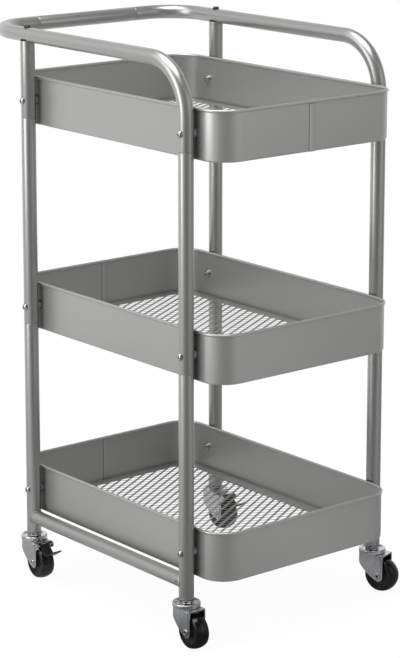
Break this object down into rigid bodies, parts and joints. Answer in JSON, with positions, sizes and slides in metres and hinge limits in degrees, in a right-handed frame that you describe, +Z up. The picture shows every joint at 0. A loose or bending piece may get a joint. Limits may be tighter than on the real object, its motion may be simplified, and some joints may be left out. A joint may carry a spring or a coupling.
{
  "type": "utility trolley",
  "caption": "Rolling utility trolley with sheet-metal baskets on round tube posts, mesh floors, a bent push handle and swivel castors, some of them with brake pedals.",
  "frame": {"origin": "on the floor, midway between the push bar and the upper basket's far rim, in the trolley's middle plane", "axes": "+Z up, +X along the long side away from the push handle, +Y from the front long side to the back one"},
  "size_m": [0.4756, 0.353, 0.7455],
  "materials": {
    "tube_paint": "satin silver-grey powder coat",
    "basket_paint": "satin silver-grey powder coat",
    "mesh_paint": "satin silver-grey powder coat",
    "castor_zinc": "bright zinc plate",
    "pedal_black": "black coating",
    "fastener_steel": "bright zinc plate",
    "spacer_plastic": "moulded grey",
    "tyre_rubber": "smooth black",
    "wheel_plastic": "black moulding"
  },
  "bodies": {
    "frame": {"base_rail_back": "tube_paint", "base_rail_front": "tube_paint", "basket_floor_lower": "mesh_paint", "basket_floor_middle": "mesh_paint", "basket_floor_upper": "mesh_paint", "basket_nuts": "fastener_steel", "basket_screws": "fastener_steel", "basket_spacers": "spacer_plastic", "basket_wall_lower": "basket_paint", "basket_wall_middle": "basket_paint", "basket_wall_upper": "basket_paint", "basket_washers": "fastener_steel", "castor_back_left_raceway": "castor_zinc", "castor_back_left_stem": "fastener_steel", "castor_back_right_raceway": "castor_zinc", "castor_back_right_stem": "fastener_steel", "castor_balls": "fastener_steel", "castor_front_left_raceway": "castor_zinc", "castor_front_left_stem": "fastener_steel", "castor_front_right_raceway": "castor_zinc", "castor_front_right_stem": "fastener_steel", "castor_nuts": "fastener_steel", "castor_sockets": "fastener_steel", "handle_inserts": "fastener_steel", "handle_screws": "fastener_steel", "handle_tube_back": "tube_paint", "handle_tube_front": "tube_paint", "post_back_left_lower": "tube_paint", "post_back_left_middle": "tube_paint", "post_back_left_upper": "tube_paint", "post_back_right_lower": "tube_paint", "post_back_right_middle": "tube_paint", "post_front_left_lower": "tube_paint", "post_front_left_middle": "tube_paint", "post_front_left_upper": "tube_paint", "post_front_right_lower": "tube_paint", "post_front_right_middle": "tube_paint", "push_bar": "tube_paint"},
    "swivel_front_left": {"castor_front_left_axle": "fastener_steel", "castor_front_left_fork": "castor_zinc", "castor_front_left_pedal_pin": "fastener_steel"},
    "wheel_front_left": {"castor_front_left_tyre": "tyre_rubber", "castor_front_left_wheel": "wheel_plastic"},
    "pedal_front_left": {"castor_front_left_pedal": "pedal_black"},
    "swivel_front_right": {"castor_front_right_axle": "fastener_steel", "castor_front_right_fork": "castor_zinc"},
    "wheel_front_right": {"castor_front_right_tyre": "tyre_rubber", "castor_front_right_wheel": "wheel_plastic"},
    "swivel_back_right": {"castor_back_right_axle": "fastener_steel", "castor_back_right_fork": "castor_zinc"},
    "wheel_back_right": {"castor_back_right_tyre": "tyre_rubber", "castor_back_right_wheel": "wheel_plastic"},
    "swivel_back_left": {"castor_back_left_axle": "fastener_steel", "castor_back_left_fork": "castor_zinc", "castor_back_left_pedal_pin": "fastener_steel"},
    "wheel_back_left": {"castor_back_left_tyre": "tyre_rubber", "castor_back_left_wheel": "wheel_plastic"},
    "pedal_back_left": {"castor_back_left_pedal": "pedal_black"}
  },
  "joints": [
    {"name": "swivel_turn_front_left", "type": "hinge", "parent": "frame", "child": "swivel_front_left", "pos_m": [-0.1403, -0.158, 0.051], "axis": [0, 0, 1], "continuous": true},
    {"name": "wheel_spin_front_left", "type": "hinge", "parent": "swivel_front_left", "child": "wheel_front_left", "pos_m": [-0.12484, -0.15908, 0.0225], "axis": [0.0698, 0.9976, 0], "continuous": true},
    {"name": "pedal_press_front_left", "type": "hinge", "parent": "swivel_front_left", "child": "pedal_front_left", "pos_m": [-0.11436, -0.15981, 0.047], "axis": [0.0698, 0.9976, 0], "range_deg": [0, 10]},
    {"name": "swivel_turn_front_right", "type": "hinge", "parent": "frame", "child": "swivel_front_right", "pos_m": [0.1867, -0.158, 0.051], "axis": [0, 0, 1], "continuous": true},
    {"name": "wheel_spin_front_right", "type": "hinge", "parent": "swivel_front_right", "child": "wheel_front_right", "pos_m": [0.20218, -0.15881, 0.0225], "axis": [0.0523, 0.9986, 0], "continuous": true},
    {"name": "swivel_turn_back_right", "type": "hinge", "parent": "frame", "child": "swivel_back_right", "pos_m": [0.1867, 0.158, 0.051], "axis": [0, 0, 1], "continuous": true},
    {"name": "wheel_spin_back_right", "type": "hinge", "parent": "swivel_back_right", "child": "wheel_back_right", "pos_m": [0.2016, 0.16227, 0.0225], "axis": [-0.2756, 0.9613, 0], "continuous": true},
    {"name": "swivel_turn_back_left", "type": "hinge", "parent": "frame", "child": "swivel_back_left", "pos_m": [-0.1403, 0.158, 0.051], "axis": [0, 0, 1], "continuous": true},
    {"name": "wheel_spin_back_left", "type": "hinge", "parent": "swivel_back_left", "child": "wheel_back_left", "pos_m": [-0.12488, 0.15962, 0.0225], "axis": [-0.1045, 0.9945, 0], "continuous": true},
    {"name": "pedal_press_back_left", "type": "hinge", "parent": "swivel_back_left", "child": "pedal_back_left", "pos_m": [-0.11444, 0.16072, 0.047], "axis": [-0.1045, 0.9945, 0], "range_deg": [0, 10]}
  ]
}
